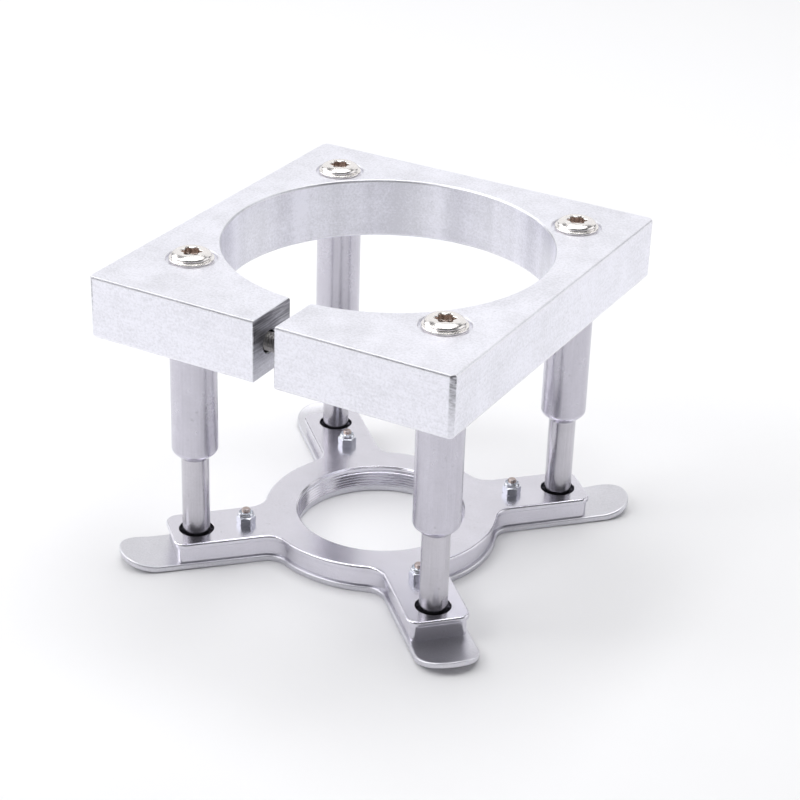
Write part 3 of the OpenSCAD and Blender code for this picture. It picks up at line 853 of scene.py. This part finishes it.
class MakeGuideTubes(bpy.types.Operator):
    """Makes the four guide tubes and the plugs in their upper ends"""

    bl_idname = "spindle_clamp.guide_tubes"
    bl_label = "Guide Tubes"

    def execute(self, context):
        legs, colours = context.scene.leg_sizes, context.scene.metal_colours
        satin = turned_metal("turned_tube", colours.tube, 0.25, lines=5.0, depth=0.006, drawn=0.8)
        for leg in LEGS:
            node = f"guide_tube_{leg}"
            low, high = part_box(node)
            outer, gap = (high.x - low.x) / 2, legs.rod + legs.slide
            line, wear = soften(
                [
                    (gap, low.z), (outer - legs.chamfer, low.z), (outer, low.z + legs.chamfer),
                    (outer, high.z), (legs.chamber, high.z), (legs.chamber, low.z + legs.floor),
                    (gap, low.z + legs.floor),
                ],
                np.array([0.1, 0.15, 0.9, 0.2, 0.2, 0.2, 0.2]) * MM,
                closed=True,
                steps=6,
            )
            turned_piece(node, line, wear, satin, 96, closed=True)
            self.plug(leg, satin)
        return {"FINISHED"}

    def plug(self, leg, satin):
        """Threaded ring: a closed cross-section swung round the leg."""
        node = f"tube_plug_{leg}"
        low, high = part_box(node)
        outer, inner, edge = (high.x - low.x) / 2, M6_RADIUS, 0.4 * MM
        line, wear = soften(
            [
                (inner, low.z + edge), (inner + edge, low.z), (outer - edge, low.z),
                (outer, low.z + edge), (outer, high.z), (inner, high.z),
            ],
            0.2 * MM,
            closed=True,
        )
        turned_piece(node, line[::-1], wear[::-1], satin, 64, closed=True)


class MakeGuideRods(bpy.types.Operator):
    """Makes the four guide rods and their ring clips"""

    bl_idname = "spindle_clamp.guide_rods"
    bl_label = "Guide Rods"

    def execute(self, context):
        legs, colours = context.scene.leg_sizes, context.scene.metal_colours
        foot_top = highest("cover_plate")
        # The rods get painted shade just above the cover plate.
        ground = turned_metal("ground_rod", colours.rod, 0.22, lines=3.0, drawn=0.8, shaded_below=foot_top)
        wire = turned_metal("clip_steel", colours.spring, 0.3)
        for leg in LEGS:
            node, clip = f"guide_rod_{leg}", f"rod_clip_{leg}"
            low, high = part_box(node)
            rod, flange, small = legs.rod, (high.x - low.x) / 2, 0.4 * MM
            neck, shoulder = rod - legs.groove, low.z + legs.flange
            line, wear = soften(
                [
                    (0, low.z), (flange - small, low.z), (flange, low.z + small),
                    (flange, shoulder - small), (flange - small, shoulder), (rod, shoulder),
                    (rod, lowest(clip)), (neck, lowest(clip)), (neck, highest(clip)),
                    (rod, highest(clip)), (rod, high.z - small), (rod - small, high.z), (0, high.z),
                ],
                0.15 * MM,
            )
            turned_piece(node, line, wear, ground, 96)
            self.clip(clip, plan_middle(node), neck, wire)
        return {"FINISHED"}

    def clip(self, node, centre, inner, wire):
        """Open ring: a rounded rectangle carried round most of a circle and closed at both ends."""
        low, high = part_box(node)
        outer, gap = (high.y - low.y) / 2, 0.26
        section, wear = soften([(inner, low.z), (outer, low.z), (outer, high.z), (inner, high.z)],
                               0.3 * MM, closed=True)
        middle = math.atan2(centre[1], centre[0])
        t = np.linspace(gap, TURN - gap, 73)[:, None] + middle
        ring = np.stack([centre[0] + section[:, 0] * np.cos(t), centre[1] + section[:, 0] * np.sin(t),
                         section[:, 1] + 0 * t], -1)
        skin = Skin()
        skin.grid(capped(ring), wear[None, :])
        piece(skin, node, wire)


class MakeSprings(bpy.types.Operator):
    """Makes the four springs inside the tubes"""

    bl_idname = "spindle_clamp.springs"
    bl_label = "Springs"

    def execute(self, context):
        legs = context.scene.leg_sizes
        wire = turned_metal("spring_wire", context.scene.metal_colours.spring, 0.28, drawn=0.4)
        for leg in LEGS:
            node = f"spring_{leg}"
            low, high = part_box(node)
            skin = Skin()
            skin.grid(self.coil(legs, node, low.z, high.z))
            made = piece(skin, node, wire)
            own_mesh(made)
        return {"FINISHED"}

    def coil(self, legs, node, bottom, top):
        """Wire of circle section round the line (r cos a, r sin a, h(a)), where r is midway between the rod
        and the tube's chamber. h rises by less than a wire in the first and the last turn, which are closed,
        and evenly between them."""
        centre, radius = plan_middle(node), legs.wire / 2
        coil = (legs.rod + legs.chamber) / 2
        steps_per_turn, end_rise = 28, radius * 2.6
        turn = np.linspace(0, 1, legs.turns * steps_per_turn + 1) * legs.turns
        stretches = [0, 1, legs.turns - 1, legs.turns]
        heights = [bottom + radius, bottom + end_rise, top - end_rise, top - radius]
        height = np.interp(turn, stretches, heights)
        slope = np.interp(turn, stretches, [0.05, 0.1, 0.1, 0.05])[:, None]
        a, s = TURN * turn[:, None], np.linspace(0, TURN, 12, endpoint=False)[None, :]
        out, up = radius * np.cos(s), radius * np.sin(s)
        return capped(np.stack([
            centre[0] + (coil + out) * np.cos(a) + up * slope * np.sin(a),
            centre[1] + (coil + out) * np.sin(a) - up * slope * np.cos(a),
            np.clip(height[:, None] + up, bottom, top),
        ], -1))


# ------------------------------------------------------------------ the foot


def star(foot, step, arm_end):
    """Outline of the ring with four arms: ring arc, hollow blend, arm end and back, turned four times."""
    ring, blend, arm = foot.ring - step, foot.blend + step, foot.arm - step
    across = arm + blend
    along = math.sqrt((ring + blend) ** 2 - across**2)
    lean = math.atan2(across, along)
    near = np.concatenate([
        arc((0, 0), ring, -math.pi / 4, -lean, 12),
        arc((along, -across), blend, math.pi - lean, math.pi / 2, 16)[1:],
    ])
    far = near[::-1] * (1, -1)
    return on_four_arms(np.concatenate([near, arm_end, far[:-1]]))


def square_end(foot, step, corner):
    """End of an arm: straight, with two round corners."""
    x, y = foot.reach - step - corner, foot.arm - step - corner
    quarter = math.pi / 2
    return np.concatenate([arc((x, -y), corner, -quarter, 0, 12), arc((x, y), corner, 0, quarter, 12)])


def toe_end(foot):
    """End of a toe: the curve |u|^n + |v|^n = 1, longer than wide, with n the toe's power."""
    start = foot.toe - foot.arm - TOE_BASE
    t, power = np.linspace(-math.pi / 2, math.pi / 2, 49), 2 / TOE_POWER
    u, v = np.abs(np.cos(t)) ** power, np.sign(np.sin(t)) * np.abs(np.sin(t)) ** power
    return np.stack([start + (foot.toe - start) * u, foot.arm * v], -1)


def plate_edge(bottom, top, lower, upper):
    """Edge of a plate: (inset, height) pairs with quarter-round edges of two radii."""
    guard = 0.3 * MM
    low = arc((lower, bottom + lower), -lower, math.pi / 2, 0, 5)
    high = arc((upper, top - upper), -upper, 0, -math.pi / 2, 7)
    line = np.concatenate([
        [(max(lower, upper) + guard, bottom), (lower + 0.5 * guard, bottom)],
        low,
        [(0, bottom + lower + 0.5 * guard), (0, top - upper - 0.5 * guard)],
        high,
        [(upper + 0.5 * guard, top), (max(lower, upper) + guard, top)],
    ])
    wear = np.concatenate([[0, 0], np.sin(np.linspace(0, math.pi, 5)), [0, 0],
                           np.sin(np.linspace(0, math.pi, 7)), [0, 0]])
    return line, wear


class MakePlates(bpy.types.Operator):
    """Makes the cover plate, the middle plate and the bottom plate with its toes"""

    bl_idname = "spindle_clamp.plates"
    bl_label = "Foot Plates"

    def execute(self, context):
        foot, colours = context.scene.foot_sizes, context.scene.metal_colours
        bright = satin_plate("satin_plate", colours.plate, 0.22)
        sheet = satin_plate("satin_sheet", colours.sheet, 0.32, grainy=1.6)
        square = star(foot, 0, square_end(foot, 0, foot.corner))
        inner_corner = 2 * MM
        stepped = star(foot, foot.step, square_end(foot, foot.step, inner_corner))
        self.plate(foot, "cover_plate", bright, square, (0.5, 0.8), (0.6, 0.1), foot.rod_hole)
        self.plate(foot, "middle_plate", bright, stepped, (0.25, 0.15), (0.1, 0.1), foot.pocket)

        low, top = lowest("bottom_plate"), lowest("middle_plate")
        edge, wear = plate_edge(low, top, 0.3 * MM, 0.6 * MM)
        holes = [self.threaded(foot, top, low, 0.1 * MM, 0.3 * MM)]
        holes += [self.countersunk(foot, plan_middle(f"foot_bolt_{leg}"), top, low) for leg in LEGS]
        skin = Skin()
        slab(skin, star(foot, 0, toe_end(foot)), edge, wear, holes, inner=self.toe_points(foot))
        skin.lift(lambda points: self.curl(foot, points))
        piece(skin, "bottom_plate", sheet)
        return {"FINISHED"}

    def plate(self, foot, node, finish, outline, edges, lips, leg_hole):
        """One of the two plates with square arms. edges are the radii of its lower and upper edge, and lips
        the chamfers at the upper and lower end of its thread, all four in millimetres."""
        low, top = lowest(node), highest(node)
        edge, wear = plate_edge(low, top, edges[0] * MM, edges[1] * MM)
        holes = [self.threaded(foot, top, low, lips[0] * MM, lips[1] * MM)]
        holes += [self.hole(plan_middle(f"guide_rod_{leg}"), leg_hole, top, low) for leg in LEGS]
        holes += [self.hole(plan_middle(f"foot_bolt_{leg}"), foot.bolt_hole, top, low) for leg in LEGS]
        skin = Skin()
        slab(skin, outline, edge, wear, holes)
        piece(skin, node, finish)

    def threaded(self, foot, top, low, upper_lip, lower_lip):
        """Wall of the ring's bore through one plate, with its stretch of the thread."""
        corners = [(foot.bore + upper_lip, top), (foot.bore, top - upper_lip)]
        corners += [(foot.bore, low + lower_lip), (foot.bore + lower_lip, low)]
        line, wear = bored(corners, 0.1 * MM)
        line, wear = denser(line, wear, foot.pitch / 10)
        whole = between(2.6 * MM, highest("cover_plate") - 1.6 * MM, 0.3 * MM)
        return (0.0, 0.0), line, wear, thread(foot.pitch, foot.thread, whole)

    def hole(self, spot, radius, top, low):
        """Plain hole through a plate, with broken edges."""
        lip = 0.15 * MM
        corners = [(radius + lip, top), (radius, top - lip), (radius, low + lip), (radius + lip, low)]
        line, wear = bored(corners, 0.05 * MM)
        return spot, line, wear, None

    def countersunk(self, foot, spot, top, low):
        """Hole for a bolt that is flush with the sole."""
        lip, head = 0.1 * MM, 3.05 * MM
        line, wear = bored([(foot.bolt_hole + lip, top), (foot.bolt_hole, top - lip),
                            (foot.bolt_hole, low + 1.4 * MM), (head, low)], 0.05 * MM)
        return spot, line, wear, None

    def toe_points(self, foot):
        """Points inside the toes, on a grid along and across each arm."""
        lead, gap, rows = 2 * MM, 0.8 * MM, np.arange(-9, 9.1, 2.25) * MM
        along, across = np.meshgrid(np.arange(foot.bend - lead, foot.toe, gap), rows)
        start, margin = foot.toe - foot.arm - TOE_BASE, 1.4 * MM
        u = np.clip((along - start) / (foot.toe - start), 0, 1)
        width = (foot.arm - margin) * (1 - np.clip(u * 1.12, 0, 1) ** TOE_POWER) ** (1 / TOE_POWER)
        inside = np.abs(across) < width
        return on_four_arms(np.stack([along[inside], across[inside]], -1))

    def curl(self, foot, points):
        """Raises the toes by rise * s^2, where s goes from 0 at the bend to 1 at the tip."""
        along = (np.abs(points[:, 0]) + np.abs(points[:, 1])) / math.sqrt(2)
        s = np.clip((along - foot.bend) / (foot.toe - foot.bend), 0, None)
        moved = points.copy()
        moved[:, 2] += foot.rise * s**2
        return moved


class MakeFasteners(bpy.types.Operator):
    """Makes the foot's bolts, lock nuts and nylon rings"""

    bl_idname = "spindle_clamp.fasteners"
    bl_label = "Foot Fasteners"

    def execute(self, context):
        colours, foot = context.scene.metal_colours, context.scene.foot_sizes
        stud_height = highest("foot_nut_front_left") - 0.1 * MM
        zinc = plated("zinc_plate", colours.zinc, 0.22, (0.40, 0.30, 0.26), stud_height)
        nylon = moulded_nylon(colours.nylon)
        for leg in LEGS:
            self.bolt(f"foot_bolt_{leg}", foot, zinc)
            self.nut(f"foot_nut_{leg}", foot, zinc)
            self.insert(f"nut_insert_{leg}", foot, nylon)
        return {"FINISHED"}

    def bolt(self, node, foot, zinc):
        """Countersunk bolt: hexagon socket, cone, shank and thread on one line, swung round its axis."""
        low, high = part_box(node)
        head, rod, socket, flats = (high.x - low.x) / 2, foot.bolt, 1 * MM, 2 * MM
        corners, wear = soften(
            [
                (0, low.z + socket), (flats / 2, low.z + socket), (flats / 2, low.z + 0.1 * MM),
                (flats / 2 + 0.3 * MM, low.z), (head - 0.2 * MM, low.z), (head, low.z + 0.15 * MM),
                (rod, low.z + 1.4 * MM), (rod, high.z - 0.35 * MM), (rod - 0.35 * MM, high.z),
                (0, high.z),
            ],
            0.08 * MM,
        )
        line, wear = denser(corners, wear, 0.06 * MM)
        stud = thread(0.5 * MM, 0.28 * MM, between(low.z + 8 * MM, high.z - 0.4 * MM, 0.2 * MM))

        def ripple(height, t, line):
            inside = (line[:, :1] < flats / 2 + 0.05 * MM) & (line[:, 1:2] < low.z + 1.05 * MM)
            share = np.clip(line[:, :1] / (flats / 2), 0, 1) * inside
            return share * hexagon(t, flats) + stud(height, t, line)

        turned_piece(node, line, wear, zinc, 48, ripple, sharp=60)

    def nut(self, node, foot, zinc):
        """Lock nut: where the radius is over half the flats, it is the lesser of a hexagon's and a cone's."""
        low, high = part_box(node)
        flats, hex_top = 5.5 * MM, low.z + 2.7 * MM
        collar, pocket, bore = 2.55 * MM, 2.2 * MM, foot.bolt + 0.05 * MM
        insert = f"nut_insert_{node.removeprefix('foot_nut_')}"
        corners, wear = soften(
            [
                (bore, low.z), (flats / 2 * 1.15, low.z), (flats / 2 * 1.155, hex_top),
                (collar, hex_top + 0.15 * MM), (collar, high.z - 0.45 * MM), (collar - 0.3 * MM, high.z),
                (pocket, high.z - 0.1 * MM), (pocket, lowest(insert)), (bore, lowest(insert)),
            ],
            0.15 * MM,
            closed=True,
        )
        line, wear = denser(np.vstack([corners, corners[:1]]), np.r_[wear, wear[0]], 0.12 * MM)
        line, wear = line[:-1], wear[:-1]

        def ripple(height, t, line):
            outside = line[:, :1] > flats / 2 * 0.97
            from_face = np.minimum(height - low.z, hex_top - height)
            cone = flats / 2 * 1.02 + 1.5 * from_face
            return np.where(outside, np.minimum(hexagon(t, flats) + flats / 2, cone) - line[:, :1], 0)

        turned_piece(node, line, wear, zinc, 96, ripple, closed=True, sharp=35)

    def insert(self, node, foot, nylon):
        """Ring with a rounded top: a closed cross-section swung round the bolt."""
        low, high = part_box(node)
        outer = (high.x - low.x) / 2
        line, wear = soften([(foot.bolt, low.z), (outer, low.z), (outer, high.z), (foot.bolt, high.z)],
                            0.3 * MM, closed=True)
        turned_piece(node, line, wear, nylon, 48, closed=True)


# ----------------------------------------------------------------- the stage


class MakeStage(bpy.types.Operator):
    """Sets the floor, the lights and the camera"""

    bl_idname = "spindle_clamp.stage"
    bl_label = "Stage"

    def execute(self, context):
        studio = context.scene.studio_settings
        self.floor(studio)
        self.lights(context, studio)
        self.camera(context, studio)
        return {"FINISHED"}

    def floor(self, studio):
        """Wide disc on which the foot stands, as rings of points."""
        radii = np.array([0, 0.3, 1, 3])[:, None]
        t = np.linspace(0, TURN, 64, endpoint=False)[None, :]
        skin = Skin()
        skin.grid(np.stack([radii * np.cos(t), radii * np.sin(t), 0 * radii * t - 0.05 * MM], -1))
        floor = bpy.data.objects.new("floor", skin.mesh("floor"))
        bpy.context.scene.collection.objects.link(floor)
        floor.data.materials.append(painted_floor(studio.floor))

    def lights(self, context, studio):
        """Dim surround and five soft boxes: behind, above, left, front left and far right of the object."""
        world = bpy.data.worlds.new("studio")
        world.use_nodes = True
        sky = world.node_tree.nodes["Background"]
        sky.inputs["Color"].default_value = (0.97, 0.97, 1.0, 1.0)
        sky.inputs["Strength"].default_value = studio.sky
        context.scene.world = world
        for name, (place, width, height, brightness) in SOFT_BOXES.items():
            lamp = bpy.data.lights.new(name, "AREA")
            lamp.shape, lamp.size, lamp.size_y = "RECTANGLE", width, height
            lamp.energy = brightness * math.pi * width * height
            box = bpy.data.objects.new(name, lamp)
            box.location = place
            aim = Vector((0, 0, 0.05)) - box.location
            box.rotation_euler = aim.to_track_quat("-Z", "Y").to_euler()
            box.visible_camera = False
            context.scene.collection.objects.link(box)
        context.scene.view_settings.view_transform = "Standard"

    def camera(self, context, studio):
        """Camera that looks along its azimuth and elevation."""
        a, e, roll = studio.azimuth, studio.elevation, studio.roll
        back = Vector((math.sin(a) * math.cos(e), -math.cos(a) * math.cos(e), math.sin(e)))
        level = Vector((math.cos(a), math.sin(a), 0))
        right = math.cos(roll) * level + math.sin(roll) * back.cross(level)
        turn = Matrix((right, back.cross(right), back)).transposed()
        data = bpy.data.cameras.new("camera")
        data.lens, data.sensor_width = studio.lens, 36
        data.shift_x, data.shift_y = studio.shift
        data.clip_start, data.clip_end = 0.01, 20
        camera = bpy.data.objects.new("camera", data)
        camera.matrix_world = Matrix.Translation(studio.place) @ turn.to_4x4()
        context.scene.collection.objects.link(camera)
        context.scene.camera = camera


# ----------------------------------------------------------------- the panel


class SpindleClampPanel(bpy.types.Panel):
    """Lists what can be made"""

    bl_idname = "VIEW3D_PT_spindle_clamp"
    bl_label = "Spindle Clamp"
    bl_space_type = "VIEW_3D"
    bl_region_type = "UI"
    bl_category = "Spindle Clamp"

    def draw(self, context):
        for maker in MAKERS:
            self.layout.operator(maker.bl_idname)
        for name in GROUPS:
            group = getattr(context.scene, name)
            box = self.layout.box()
            for field in group.bl_rna.properties:
                if field.identifier not in ("rna_type", "name"):
                    box.prop(group, field.identifier)


MAKERS = (
    MakeClampBlock,
    MakePinchScrew,
    MakeLegScrews,
    MakeGuideTubes,
    MakeGuideRods,
    MakeSprings,
    MakePlates,
    MakeFasteners,
    MakeStage,
)
GROUPS = {
    "clamp_sizes": ClampSizes,
    "leg_sizes": LegSizes,
    "foot_sizes": FootSizes,
    "metal_colours": MetalColours,
    "studio_settings": StudioSettings,
}


def register():
    """Registers the settings, the operators and the panel."""
    for kind in (*GROUPS.values(), *MAKERS, SpindleClampPanel):
        bpy.utils.register_class(kind)
    for name, kind in GROUPS.items():
        setattr(bpy.types.Scene, name, bpy.props.PointerProperty(type=kind))


def unregister():
    """Takes away what register added."""
    for name in GROUPS:
        delattr(bpy.types.Scene, name)
    for kind in (SpindleClampPanel, *reversed(MAKERS), *reversed(GROUPS.values())):
        bpy.utils.unregister_class(kind)


def main():
    register()
    for maker in MAKERS:
        family, action = maker.bl_idname.split(".")
        getattr(getattr(bpy.ops, family), action)()


if __name__ == "__main__":
    main()
